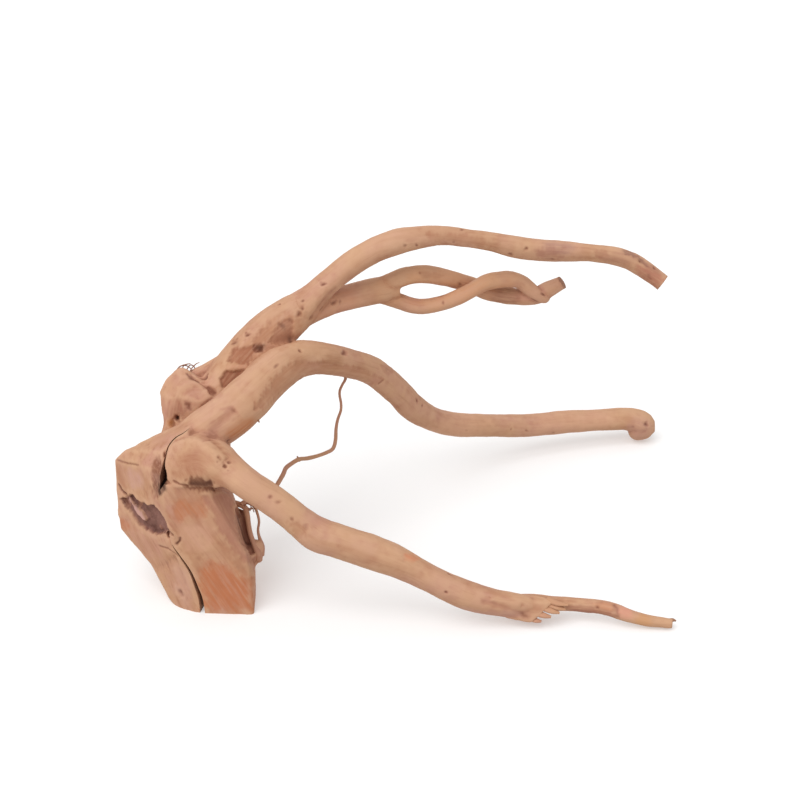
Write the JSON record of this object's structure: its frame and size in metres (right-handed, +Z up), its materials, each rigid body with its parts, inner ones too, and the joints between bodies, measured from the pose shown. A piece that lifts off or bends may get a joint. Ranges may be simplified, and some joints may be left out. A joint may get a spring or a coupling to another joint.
{
  "type": "bogwood root",
  "caption": "Natural peeled bogwood root: a split, sawn stump with long spreading limbs and a twisted pair of roots, standing on its foot and two limb tips.",
  "frame": {"origin": "middle of the stump's sawn foot, on the surface that the root stands on", "axes": "+X along the limbs away from the stump, +Y from the front limb towards the back limbs, +Z up"},
  "size_m": [0.4576, 0.323, 0.2608],
  "materials": {
    "peeled_wood": "peeled, sand-rubbed root wood, matt, tan with orange heartwood and purple-brown hollows"
  },
  "bodies": {
    "root": {"bogwood_root": "peeled_wood"}
  },
  "joints": []
}
